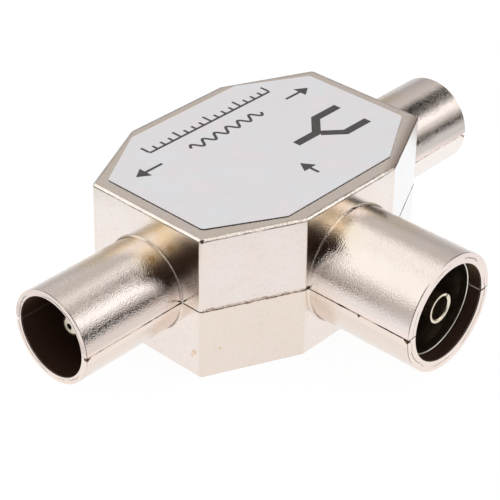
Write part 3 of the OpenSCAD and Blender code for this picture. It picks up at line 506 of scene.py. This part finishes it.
def castingMaterial(name, tint):
    look = castingLook
    material, g, shader = newMaterial(name, Metallic=1.0)
    grain = g.group(grainGroup, **{"Grain Size": look["grainSize"], "Swell": 1.5})
    scratches = g.group(scratchGroup, Amount=0.5).outputs["Mask"]
    seamLines = g.group(seamGroup, Width=0.11)
    mouth = g.group(mouthGroup, Edge=0.05).outputs["Mask"]
    dust = g.group(dustGroup, Amount=0.7, Size=0.25).outputs["Mask"]
    marksAndShadeLines = g.group(rimGroup, Amount=0.75).outputs["Mask"]
    edges = g.group(edgeGroup, Bevel=look["bevel"], Width=0.07)
    roots = g.group(rootGroup, Reach=6.5)
    pits = g.group(pitGroup, Amount=0.95).outputs["Mask"]
    seam = g.calc("MAXIMUM", seamLines.outputs["Mask"], pits)
    marksAndShadeLines = g.calc("MAXIMUM", marksAndShadeLines, g.calc("MULTIPLY", edges.outputs["Mask"], 0.85))
    normalX, normalY, normalZ = g.parts(g.add("ShaderNodeNewGeometry").outputs["True Normal"])
    lean = g.calc("ADD", g.calc("MULTIPLY", normalX, slantX), g.calc("MULTIPLY", normalY, slantY))
    paintedSlantLight = g.calc("GREATER_THAN", lean, 0.97)
    square = g.calc("MAXIMUM", g.calc("ABSOLUTE", normalX), g.calc("ABSOLUTE", normalY))
    placeX, placeY, placeZ = g.parts(g.place())
    offRim = g.calc("MULTIPLY", g.calc("LESS_THAN", g.calc("ABSOLUTE", placeX), bodyHalfL + 1 * mm),
                    g.calc("GREATER_THAN", placeY, -bodyHalfW - 1 * mm))
    square = g.calc("MULTIPLY", g.calc("GREATER_THAN", square, 0.99), offRim)
    blotch = g.ramp(g.noise(g.place(), 230.0, 3.0, 0.6), 0.3, 0.75)
    colour = g.mix(g.calc("MULTIPLY", blotch, 0.1), tint, look["worn"])
    colour = g.mix(g.calc("MULTIPLY", grain.outputs["Speckle"], 0.1), colour, rgb(0.95, 0.92, 0.88))
    cloud = g.ramp(g.noise(g.place(), 640.0, 4.0, 0.6), 0.35, 0.65)
    colour = g.mix(g.calc("MULTIPLY", cloud, 0.22), colour, look["pink"])
    sallow = g.calc("MULTIPLY", g.ramp(g.noise(g.place(), 330.0, 2.0, 0.5, 0.4), 0.45, 0.65), offRim)
    colour = g.mix(g.calc("MULTIPLY", sallow, 0.25), colour, look["cream"])
    # Painted light: the upright end and side faces, away from the rims, are lightened
    colour = g.mix(g.calc("MULTIPLY", square, 0.5), colour, look["flat"])
    mottle = g.calc("MULTIPLY", g.ramp(g.noise(g.place(), 2300.0, 2.0, 0.6), 0.5, 0.72), offRim)
    colour = g.mix(g.calc("MULTIPLY", mottle, 0.13), colour, look["worn"])
    warmth = g.calc("MULTIPLY", edges.outputs["Warm"], g.ramp(grain.outputs["Speckle"], 0.0, 1.0, 0.15, 0.5))
    colour = g.mix(g.calc("MULTIPLY", warmth, offRim), colour, look["cream"])
    onRim = g.calc("MULTIPLY", g.calc("GREATER_THAN", g.calc("MAXIMUM", g.calc("ABSOLUTE", normalX), g.calc("ABSOLUTE", normalY)), 0.99),
                   g.calc("SUBTRACT", 1.0, offRim))
    colour = g.mix(g.calc("MULTIPLY", onRim, 0.5), colour, look["rim"])
    # Painted light: the far plug's lower half and rear side are lightened
    paintedFarPlugLight = g.calc("MAXIMUM", g.calc("LESS_THAN", placeZ, splitZ), g.ramp(placeY, 0.5 * mm, 2.5 * mm))
    paintedFarPlugLight = g.calc("MULTIPLY", g.calc("GREATER_THAN", placeX, bodyHalfL + 0.1 * mm), paintedFarPlugLight)
    colour = g.mix(g.calc("MULTIPLY", paintedFarPlugLight, 0.6), colour, look["paintedFarPlugLight"])
    # Painted shade: a darker band on the left plug just above the split
    plugShadeBand = g.calc("MULTIPLY", g.ramp(placeZ, splitZ, splitZ + 0.5 * mm), g.ramp(placeZ, splitZ + 1.3 * mm, splitZ + 2 * mm, 1.0, 0.0))
    plugShadeBand = g.calc("MULTIPLY", plugShadeBand, g.calc("LESS_THAN", placeX, -bodyHalfL - 0.1 * mm))
    colour = g.mix(g.calc("MULTIPLY", plugShadeBand, 0.7), colour, look["underside"])
    # Painted light: the right slanted face is lightened and cooled
    colour = g.mix(g.calc("MULTIPLY", paintedSlantLight, 0.95), colour, look["cool"])
    colour = g.mix(g.calc("MULTIPLY", scratches, 0.35), colour, look["worn"])
    patchy = g.calc("SUBTRACT", 0.95, g.calc("MULTIPLY", grain.outputs["Speckle"], 0.35))
    # Painted shade and light at the tube roots: dark reflection beside a root, golden light above it, a dimmed blend
    # and shade on the tube near its root
    colour = g.mix(g.calc("MULTIPLY", roots.outputs["Painted Root Shade"], patchy), colour, look["paintedRootShade"])
    colour = g.mix(g.calc("MULTIPLY", roots.outputs["Painted Gold Light"], 0.7), colour, look["paintedGoldLight"])
    colour = g.mix(g.calc("MULTIPLY", roots.outputs["Painted Ring Shade"], 0.15), colour, look["paintedRootShade"])
    colour = g.mix(g.calc("MULTIPLY", roots.outputs["Painted Tube Shade"], 0.7), colour, look["paintedTubeShade"])
    colour = g.mix(g.calc("MULTIPLY", edges.outputs["Grit"], 0.7), colour, look["worn"])
    # Painted highlight along the top's bevel
    colour = g.mix(g.calc("MULTIPLY", edges.outputs["Bevel Highlight"], 0.35), colour, look["paintedBevelHighlight"])
    # Painted shade on the top's sloping front
    colour = g.mix(g.calc("MULTIPLY", edges.outputs["Slope"], 0.95), colour, look["paintedSlopeShade"])
    stains = g.group(stainGroup, Amount=0.6).outputs["Mask"]
    colour = g.mix(stains, colour, look["stain"])
    colour = g.mix(g.calc("MULTIPLY", seamLines.outputs["Burr"], 0.75), colour, look["burr"])
    # The seam colour paints the seam, pits and cast marks, and also painted shade lines under the bevel and round the
    # rims' outer corners
    colour = g.mix(g.calc("MAXIMUM", seam, marksAndShadeLines), colour, look["seam"])
    inside = g.mix(dust, look["inside"], look["speck"])
    lit = g.ramp(placeZ, splitZ + 0.5 * mm, splitZ + 3.5 * mm, 0.0, 0.6)
    inside = g.mix(lit, inside, look["insideLit"])
    inside = g.mix(g.calc("MULTIPLY", seamLines.outputs["Line"], 0.8), inside, look["seamInside"])
    colour = g.mix(mouth, colour, inside)
    g.plug(shader.inputs["Base Color"], colour)
    rough = g.calc("ADD", look["roughness"], g.calc("MULTIPLY", blotch, 0.06))
    rough = g.calc("ADD", rough, g.calc("MULTIPLY", g.calc("MAXIMUM", seam, mouth), 0.4))
    g.plug(shader.inputs["Roughness"], rough)
    g.plug(shader.inputs["Metallic"], g.calc("SUBTRACT", 1.0, g.calc("MULTIPLY", mouth, 0.6)))
    hollow = g.calc("ADD", g.calc("MAXIMUM", seam, marksAndShadeLines), g.calc("MULTIPLY", scratches, 0.15))
    onSides = g.calc("MULTIPLY", g.calc("LESS_THAN", g.calc("ABSOLUTE", normalZ), 0.2), offRim)
    height = g.calc("MULTIPLY", grain.outputs["Height"], g.ramp(onSides, 0.0, 1.0, 1.0, 0.45))
    height = g.calc("SUBTRACT", height, g.calc("ADD", hollow, g.calc("MULTIPLY", edges.outputs["Round"], 3.2)))
    addBump(g, shader, height, look["grainDepth"], normal=roots.outputs["Normal"])
    return material


# Printed film on top
labelLook = {
    "film": rgb(0.755, 0.73, 0.735),
    "cool": rgb(0.655, 0.645, 0.665),
    "patchBlue": rgb(0.72, 0.75, 0.77),
    "patchPink": rgb(0.79, 0.72, 0.735),
    "edge": rgb(0.05, 0.045, 0.045),
    "ink": rgb(0.05, 0.042, 0.044),
}


def labelMaterial():
    look = labelLook
    material, g, shader = newMaterial("labelFilm", Roughness=0.42)
    grain = g.group(grainGroup, **{"Grain Size": 0.35, "Swell": 0.6})
    mottle = g.ramp(g.noise(g.place(), 700.0, 4.0, 0.65), 0.3, 0.7)
    wipe = g.ramp(g.noise(g.stretch(g.place(), (1.0, 0.25, 1.0), (0, 0, 0.6)), 900.0, 2.0, 0.6), 0.4, 0.8)
    colour = g.mix(g.calc("MULTIPLY", mottle, 0.12), look["film"], look["cool"])
    colour = g.mix(g.calc("MULTIPLY", wipe, 0.12), colour, look["cool"])
    for seed, tint in ((0.0, look["patchBlue"]), (0.05, look["patchPink"])):
        shifted = g.add("ShaderNodeVectorMath", operation="ADD")
        g.plug(shifted.inputs[0], g.place())
        shifted.inputs[1].default_value = (seed, seed, 0.0)
        patch = g.ramp(g.noise(shifted.outputs[0], 260.0, 4.0, 0.6, 0.6), 0.45, 0.65)
        colour = g.mix(g.calc("MULTIPLY", patch, 0.6), colour, tint)
    colour = g.mix(g.group(scratchGroup, Amount=0.15).outputs["Mask"], colour, look["cool"])
    colour = g.mix(g.group(pitGroup, Amount=0.35).outputs["Mask"], colour, look["edge"])
    normal = g.add("ShaderNodeNewGeometry").outputs["Normal"]
    side = g.ramp(g.parts(normal)[2], 0.3, 0.8, 1.0, 0.0)
    colour = g.mix(side, colour, look["edge"])
    g.plug(shader.inputs["Base Color"], colour)
    g.plug(shader.inputs["Roughness"], g.calc("ADD", 0.38, g.calc("MULTIPLY", mottle, 0.1)))
    addBump(g, shader, grain.outputs["Height"], 0.004 * mm)
    return material


def inkMaterial():
    material, g, shader = newMaterial("printInk", Roughness=0.5)
    wear = g.ramp(g.noise(g.place(), 2600.0, 3.0, 0.6), 0.35, 0.75)
    g.plug(shader.inputs["Base Color"], g.mix(g.calc("MULTIPLY", wear, 0.25), labelLook["ink"], rgb(0.16, 0.15, 0.15)))
    g.plug(shader.inputs["Roughness"], g.calc("ADD", 0.45, g.calc("MULTIPLY", wear, 0.15)))
    addBump(g, shader, wear, 0.003 * mm)
    return material


# Turned and pressed metal, and small inner pieces: tint, darker tint, metallic, roughness, grain size, grain depth
plainLooks = {
    "pinNickel": (rgb(0.86, 0.79, 0.66), rgb(0.62, 0.5, 0.33), 1.0, 0.17, 0.1, 0.002),
    "sleeveNickel": (rgb(0.36, 0.29, 0.23), rgb(0.2, 0.15, 0.11), 1.0, 0.3, 0.15, 0.003),
    "darkPlastic": (rgb(0.016, 0.012, 0.01), rgb(0.03, 0.024, 0.02), 0.0, 0.5, 0.2, 0.006),
    "brownLaminate": (rgb(0.36, 0.2, 0.08), rgb(0.26, 0.13, 0.05), 0.0, 0.55, 0.25, 0.004),
    "copperFoil": (rgb(0.8, 0.42, 0.25), rgb(0.5, 0.24, 0.13), 1.0, 0.35, 0.2, 0.003),
    "ferriteGrey": (rgb(0.035, 0.033, 0.033), rgb(0.06, 0.056, 0.054), 0.0, 0.6, 0.12, 0.008),
    "redEnamel": (rgb(0.42, 0.1, 0.035), rgb(0.25, 0.05, 0.02), 0.3, 0.25, 0.1, 0.001),
    "greenEnamel": (rgb(0.05, 0.22, 0.08), rgb(0.025, 0.12, 0.05), 0.3, 0.25, 0.1, 0.001),
    "blueLacquer": (rgb(0.25, 0.45, 0.56), rgb(0.18, 0.34, 0.45), 0.0, 0.4, 0.15, 0.003),
    "ochreCoat": (rgb(0.6, 0.3, 0.08), rgb(0.45, 0.2, 0.05), 0.0, 0.35, 0.2, 0.004),
    "brightSolder": (rgb(0.7, 0.71, 0.72), rgb(0.45, 0.45, 0.46), 1.0, 0.28, 0.2, 0.006),
}


def plainMaterial(name):
    tint, darker, metallic, roughness, grainSize, depth = plainLooks[name]
    material, g, shader = newMaterial(name, Metallic=metallic)
    grain = g.group(grainGroup, **{"Grain Size": grainSize, "Swell": 0.8})
    dust = g.group(dustGroup, Amount=0.4, Size=0.3).outputs["Mask"]
    cloud = g.ramp(g.noise(g.place(), 700.0, 3.0, 0.6), 0.3, 0.7)
    colour = g.mix(g.calc("MULTIPLY", cloud, 0.5), tint, darker)
    colour = g.mix(g.calc("MULTIPLY", dust, 0.3), colour, rgb(0.5, 0.47, 0.43))
    g.plug(shader.inputs["Base Color"], colour)
    rough = g.calc("ADD", roughness, g.calc("MULTIPLY", grain.outputs["Speckle"], 0.06))
    g.plug(shader.inputs["Roughness"], g.calc("ADD", rough, g.calc("MULTIPLY", dust, 0.3)))
    addBump(g, shader, grain.outputs["Height"], depth * mm)
    return material


# Rolled front edge of the spring sleeve, which catches the light
def rollSleeveEdge(material):
    g = Graph(material.node_tree)
    shader = material.node_tree.nodes["Principled BSDF"]
    x, y, z = g.parts(g.place())
    low, high = (Vector(corner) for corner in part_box("in_spring_sleeve"))
    up = g.calc("SUBTRACT", z, splitZ)
    radius = g.calc("SQRT", g.calc("ADD", g.calc("MULTIPLY", x, x), g.calc("MULTIPLY", up, up)))
    front = g.calc("LESS_THAN", y, low.y + 0.02 * mm)
    front = g.calc("MULTIPLY", front, g.calc("LESS_THAN", radius, high.x - 0.15 * mm))
    inward = g.add("ShaderNodeCombineXYZ")
    g.plug(inward.inputs[0], g.calc("MULTIPLY", x, -1.0))
    g.plug(inward.inputs[2], g.calc("SUBTRACT", splitZ, z))
    unit = g.add("ShaderNodeVectorMath", operation="NORMALIZE")
    g.plug(unit.inputs[0], inward.outputs[0])
    tilt = g.add("ShaderNodeVectorMath", operation="ADD")
    g.plug(tilt.inputs[0], unit.outputs[0])
    tilt.inputs[1].default_value = (0.0, -1.3, 0.0)
    rolled = g.add("ShaderNodeVectorMath", operation="NORMALIZE")
    g.plug(rolled.inputs[0], tilt.outputs[0])
    blend = g.add("ShaderNodeMix", data_type="VECTOR")
    g.plug(blend.inputs["Factor"], front)
    g.plug(blend.inputs[4], shader.inputs["Normal"].links[0].from_socket)
    g.plug(blend.inputs[5], rolled.outputs[0])
    g.plug(shader.inputs["Normal"], blend.outputs[1])
    g.plug(shader.inputs["Base Color"], g.mix(front, shader.inputs["Base Color"].links[0].from_socket, rgb(0.9, 0.85, 0.77)))


# Dark centre hole in the tip of each plug's pin: painted shade, with the metal turned off there
def darkenPinHole(material):
    g = Graph(material.node_tree)
    shader = material.node_tree.nodes["Principled BSDF"]
    x, y, z = g.parts(g.place())
    up = g.calc("SUBTRACT", z, splitZ)
    radius = g.calc("SQRT", g.calc("ADD", g.calc("MULTIPLY", y, y), g.calc("MULTIPLY", up, up)))
    hole = g.calc("MULTIPLY", g.calc("LESS_THAN", radius, 0.32 * mm), g.calc("GREATER_THAN", g.calc("ABSOLUTE", x), bodyHalfL))
    g.plug(shader.inputs["Base Color"], g.mix(hole, shader.inputs["Base Color"].links[0].from_socket, rgb(0.03, 0.025, 0.03)))
    g.plug(shader.inputs["Metallic"], g.calc("SUBTRACT", 1.0, hole))


finishes = {
    "upper_shell": castingMaterial("nickelUpper", castingLook["upper"]),
    "lower_shell": castingMaterial("nickelLower", castingLook["lower"]),
    "top_label": labelMaterial(),
}
plainFinish = {name: plainMaterial(name) for name in plainLooks}
rollSleeveEdge(plainFinish["sleeveNickel"])
darkenPinHole(plainFinish["pinNickel"])
bySlot = {
    "nickel_pin": "pinNickel", "nickel_sheet": "sleeveNickel", "dark_plastic": "darkPlastic",
    "board_laminate": "brownLaminate", "copper": "copperFoil", "ferrite": "ferriteGrey",
    "red_enamel_wire": "redEnamel", "green_enamel_wire": "greenEnamel", "resistor_coat": "blueLacquer",
    "capacitor_coat": "ochreCoat", "solder": "brightSolder",
}
for part in frame["record"]["subparts"]:
    node = frame["nodes"][part["node"]]
    finish = finishes.get(part["node"]) or plainFinish[bySlot[part["material_slot"]]]
    node.data.materials.clear()
    node.data.materials.append(finish)
print("splitter: finishes on", len(frame["nodes"]), "nodes")


# Plain signs printed on the label, in millimetres from the middle of the label
printLook = {
    "stroke": 0.3,
    "height": 0.012,
    "arrows": [((0.4, -7.3), (0.4, -4.9)), ((-8.9, 4.6), (-12.4, 4.6)), ((9.0, 4.6), (12.4, 4.6))],
    "arrowHead": (1.3, 0.85),
    "rule": (-8.3, 9.0, 6.9),
    "ticks": 16,
    "tick": (0.75, 1.25),
    "wave": (-4.9, 5.2, 4.6),
    "swing": 0.5,
    "swings": 6,
    "forkAt": (7.2, -2.2),
    "forkStroke": 0.9,
    "fork": [[(-4.3, 0), (-1.3, 0), (0.9, 2.0), (4.3, 2.0)], [(-1.0, -0.3), (0.9, -2.0), (4.3, -2.0)]],
}


def addStroke(mesh, points, width, z0, z1):
    rims = []
    for i, point in enumerate(points):
        before = (point - points[i - 1]).normalized() if i else None
        after = (points[i + 1] - point).normalized() if i < len(points) - 1 else None
        along = ((before or after) + (after or before)).normalized()
        aside = Vector((-along.y, along.x))
        lean = max(0.5, aside.dot(Vector((-(after or before).y, (after or before).x))))
        reach = width / 2 / lean
        rims.append([mesh.verts.new((*(point + s * reach * aside), z)) for z in (z0, z1) for s in (1, -1)])
    for a, b in zip(rims, rims[1:]):
        for i, j in ((0, 1), (1, 3), (3, 2), (2, 0)):
            mesh.faces.new((a[i], a[j], b[j], b[i]))
    mesh.faces.new([rims[0][i] for i in (1, 0, 2, 3)])
    mesh.faces.new([rims[-1][i] for i in (0, 1, 3, 2)])


def addPlate(mesh, outline, z0, z1):
    low = [mesh.verts.new((*p, z0)) for p in outline]
    high = [mesh.verts.new((*p, z1)) for p in outline]
    mesh.faces.new(low[::-1])
    mesh.faces.new(high)
    for i in range(len(outline)):
        j = (i + 1) % len(outline)
        mesh.faces.new((low[i], low[j], high[j], high[i]))


def finishMesh(name, mesh, material):
    bmesh.ops.recalc_face_normals(mesh, faces=mesh.faces)
    data = bpy.data.meshes.new(name)
    mesh.to_mesh(data)
    mesh.free()
    data.materials.append(material)
    piece = bpy.data.objects.new(name, data)
    scene.collection.objects.link(piece)
    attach(piece, "root")
    return piece


def makePrint():
    look = printLook
    mesh = bmesh.new()
    middle = Vector(((labelLow.x + labelHigh.x) / 2, (labelLow.y + labelHigh.y) / 2))
    z0 = labelHigh.z - 0.02 * mm
    z1 = labelHigh.z + look["height"] * mm
    stroke = look["stroke"] * mm

    def at(x, y):
        return middle + Vector((x, y)) * mm

    headL, headW = look["arrowHead"]
    for (x0, y0), (x1, y1) in look["arrows"]:
        start, tip = at(x0, y0), at(x1, y1)
        along = (tip - start).normalized()
        aside = Vector((-along.y, along.x))
        neck = tip - along * headL * mm
        addStroke(mesh, [start, neck], stroke, z0, z1)
        addPlate(mesh, [neck + aside * headW * mm, neck - aside * headW * mm, tip], z0, z1)
    x0, x1, y = look["rule"]
    addStroke(mesh, [at(x0, y), at(x1, y)], stroke * 0.9, z0, z1)
    for i in range(look["ticks"] + 1):
        x = x0 + (x1 - x0) * i / look["ticks"]
        rise = look["tick"][1 if i % 4 == 0 else 0]
        addStroke(mesh, [at(x, y + look["stroke"] * 0.4), at(x, y + rise)], stroke * 0.9, z0, z1)
    x0, x1, y = look["wave"]
    steps = look["swings"] * 16
    wave = [at(x0 + (x1 - x0) * i / steps, y + look["swing"] * math.sin(2 * math.pi * look["swings"] * i / steps))
            for i in range(steps + 1)]
    addStroke(mesh, wave, stroke, z0, z1)
    for i, branch in enumerate(look["fork"]):
        points = [at(look["forkAt"][0] + x, look["forkAt"][1] + y) for x, y in branch]
        addStroke(mesh, points, look["forkStroke"] * mm, z0, z1 - i * 0.004 * mm)
    return finishMesh("label_print", mesh, inkMaterial())


makePrint()
print("splitter: label printed")

# Camera at the photograph's viewing angle
cameraLook = {
    "azimuth": -47.756, "elevation": 33.839, "roll": 0.898,
    "distance": 169.194 * mm, "lens": 121.25, "aside": 0.985 * mm, "above": 3.35 * mm,
}


def addCamera():
    look = cameraLook
    az, el, roll = (math.radians(look[key]) for key in ("azimuth", "elevation", "roll"))
    back = Vector((math.sin(az) * math.cos(el), -math.cos(az) * math.cos(el), math.sin(el)))
    right = Vector((0, 0, 1)).cross(back).normalized()
    up = back.cross(right)
    level, upright = right, up
    right = math.cos(roll) * level + math.sin(roll) * upright
    up = math.cos(roll) * upright - math.sin(roll) * level
    place = back * look["distance"] - right * look["aside"] - up * look["above"] + Vector((0, 0, splitZ))
    camera = bpy.data.objects.new("camera", bpy.data.cameras.new("camera"))
    camera.data.lens = look["lens"]
    camera.data.sensor_width = 36
    camera.data.clip_start = 0.005
    camera.matrix_world = Matrix((
        (right.x, up.x, back.x, place.x), (right.y, up.y, back.y, place.y),
        (right.z, up.z, back.z, place.z), (0, 0, 0, 1)))
    scene.collection.objects.link(camera)
    scene.camera = camera


addCamera()

# Studio: a pale surround with soft panels, each by azimuth, elevation, half sizes and softness in degrees
studioLook = {
    "surround": rgb(0.62, 0.595, 0.56),
    "below": rgb(1.0, 1.0, 1.0),
    "diffuse": rgb(0.97, 0.97, 0.98),
    "horizon": (-14.0, 2.0),
    "panels": [
        ("softBoxLeft", 112, 42, 53, 22, 7, rgb(1.18, 1.17, 1.12)),
        ("softBoxFront", -46, 32, 24, 10, 6, rgb(1.35, 1.34, 1.32)),
        ("cameraSide", -140, 30, 34, 26, 14, rgb(0.07, 0.045, 0.028)),
        ("darkEdge", -50, 2, 32, 7.6, 5, rgb(0.02, 0.018, 0.016)),
        ("darkBack", 42, 12, 16, 10, 8, rgb(0.45, 0.44, 0.44)),
        ("paleTop", 10, 52, 16, 8, 8, rgb(1.08, 1.05, 1.03)),
        ("paleCorner", 60, 52, 9, 6, 6, rgb(1.2, 1.18, 1.15)),
        ("softBoxHigh", -86, 50, 14, 10, 8, rgb(1.3, 1.27, 1.22)),
        ("softBoxTop", 0, 80, 200, 12, 5, rgb(1.35, 1.3, 1.22)),
    ],
}


def makePanelGroup():
    g, given, out = newGroup("studioPanel", {
        "Azimuth": ("value", 0.0), "Elevation": ("value", 0.0), "Half Width": ("value", 10.0),
        "Half Height": ("value", 10.0), "Softness": ("value", 5.0)}, {"Mask": "value"})
    x, y, z = g.parts(g.add("ShaderNodeTexCoord").outputs["Generated"])
    azimuth = g.calc("MULTIPLY", g.calc("ARCTAN2", y, x), 180 / math.pi)
    elevation = g.calc("MULTIPLY", g.calc("ARCSINE", z), 180 / math.pi)
    turned = g.calc("ABSOLUTE", g.calc("WRAP", g.calc("SUBTRACT", azimuth, given["Azimuth"]), 180.0, -180.0))
    raised = g.calc("ABSOLUTE", g.calc("SUBTRACT", elevation, given["Elevation"]))

    def soft(away, half):
        past = g.calc("DIVIDE", g.calc("SUBTRACT", away, half), given["Softness"])
        return g.ramp(past, -1.0, 1.0, 1.0, 0.0)

    g.plug(out["Mask"], g.calc("MULTIPLY", soft(turned, given["Half Width"]), soft(raised, given["Half Height"])))
    return g.tree


def addStudio():
    look = studioLook
    world = bpy.data.worlds.new("studio")
    world.use_nodes = True
    scene.world = world
    g = Graph(world.node_tree)
    panelGroup = makePanelGroup()
    z = g.parts(g.add("ShaderNodeTexCoord").outputs["Generated"])[2]
    elevation = g.calc("MULTIPLY", g.calc("ARCSINE", z), 180 / math.pi)
    colour = g.mix(g.ramp(elevation, *look["horizon"]), look["below"], look["surround"])
    for name, azimuth, height, halfW, halfH, softness, tint in look["panels"]:
        panel = g.group(panelGroup, **{
            "Azimuth": float(azimuth), "Elevation": float(height), "Half Width": float(halfW),
            "Half Height": float(halfH), "Softness": float(softness)})
        panel.label = name
        colour = g.mix(panel.outputs["Mask"], colour, tint)
    path = g.add("ShaderNodeLightPath")
    colour = g.mix(path.outputs["Is Glossy Ray"], look["diffuse"], colour)
    colour = g.mix(path.outputs["Is Camera Ray"], colour, rgb(1, 1, 1))
    g.plug(world.node_tree.nodes["Background"].inputs["Color"], colour)


# Floor: white to the camera and in reflections, with the object's faint shadow
floorLook = {
    "size": 0.6, "white": 0.88, "glow": 1.05, "paint": rgb(0.9, 0.9, 0.9),
    "nearShade": 0.98, "fallFrom": 36 * mm, "fallTo": 48 * mm, "fallShade": 0.66,
}


def addFloor():
    look = floorLook
    material = bpy.data.materials.new("floorWhite")
    material.use_nodes = True
    g = Graph(material.node_tree)
    nodes = material.node_tree.nodes
    nodes.remove(nodes["Principled BSDF"])
    paint = g.add("ShaderNodeBsdfDiffuse")
    paint.inputs["Color"].default_value = look["paint"]
    glow = g.add("ShaderNodeEmission")
    glow.inputs["Strength"].default_value = look["glow"]
    path = g.add("ShaderNodeLightPath")
    seen = g.calc("MAXIMUM", path.outputs["Is Camera Ray"], path.outputs["Is Glossy Ray"])
    seen = g.calc("MAXIMUM", seen, path.outputs["Is Transmission Ray"])
    x, y, z = g.parts(g.place())
    out = g.calc("SQRT", g.calc("ADD", g.calc("MULTIPLY", x, x), g.calc("MULTIPLY", y, y)))
    shade = g.ramp(out, look["fallFrom"], look["fallTo"], look["nearShade"], look["fallShade"])
    shade = g.mix(path.outputs["Is Glossy Ray"], rgb(1, 1, 1), shade)
    g.plug(glow.inputs["Color"], shade)
    blend = g.add("ShaderNodeMixShader")
    g.plug(blend.inputs[0], g.calc("MULTIPLY", seen, look["white"]))
    g.plug(blend.inputs[1], paint.outputs[0])
    g.plug(blend.inputs[2], glow.outputs[0])
    g.plug(nodes["Material Output"].inputs["Surface"], blend.outputs[0])
    mesh = bmesh.new()
    bmesh.ops.create_grid(mesh, x_segments=4, y_segments=4, size=look["size"] / 2)
    data = bpy.data.meshes.new("floor")
    mesh.to_mesh(data)
    mesh.free()
    data.materials.append(material)
    floor = bpy.data.objects.new("floor", data)
    scene.collection.objects.link(floor)


# Dark film above the right plug, clear toward its edges and seen only in reflections
cardLook = {
    "seenFrom": (22, 0, 7.75), "azimuth": -13, "elevation": 52, "distance": 120, "size": (104, 66), "softness": 0.45,
}


def addCard():
    look = cardLook
    az, el = math.radians(look["azimuth"]), math.radians(look["elevation"])
    toward = Vector((math.cos(el) * math.cos(az), math.cos(el) * math.sin(az), math.sin(el)))
    middle = (Vector(look["seenFrom"]) + toward * look["distance"]) * mm
    material = bpy.data.materials.new("cardDark")
    material.use_nodes = True
    g = Graph(material.node_tree)
    nodes = material.node_tree.nodes
    nodes.remove(nodes["Principled BSDF"])
    across, along, level = g.parts(g.place())
    inset = [g.calc("SUBTRACT", 1.0, g.calc("DIVIDE", g.calc("ABSOLUTE", part), size * mm / 2))
             for part, size in zip((across, along), look["size"])]
    solid = g.calc("MULTIPLY", *(g.ramp(part, 0.0, look["softness"]) for part in inset))
    film = g.add("ShaderNodeBsdfTransparent")
    g.plug(film.inputs["Color"], g.ramp(solid, 0.0, 1.0, 1.0, 0.01))
    g.plug(nodes["Material Output"].inputs["Surface"], film.outputs[0])
    mesh = bmesh.new()
    bmesh.ops.create_grid(mesh, x_segments=1, y_segments=1, size=0.5)
    width, height = look["size"]
    bmesh.ops.scale(mesh, vec=(width * mm, height * mm, 1), verts=mesh.verts)
    data = bpy.data.meshes.new("card")
    mesh.to_mesh(data)
    mesh.free()
    data.materials.append(material)
    card = bpy.data.objects.new("card", data)
    card.rotation_mode = "QUATERNION"
    card.rotation_quaternion = toward.to_track_quat("Z", "Y")
    card.location = middle
    for ray in ("camera", "diffuse", "shadow", "transmission"):
        setattr(card, "visible_" + ray, False)
    scene.collection.objects.link(card)


addStudio()
addFloor()
addCard()
scene.view_settings.view_transform = "Standard"
print("splitter: studio ready")
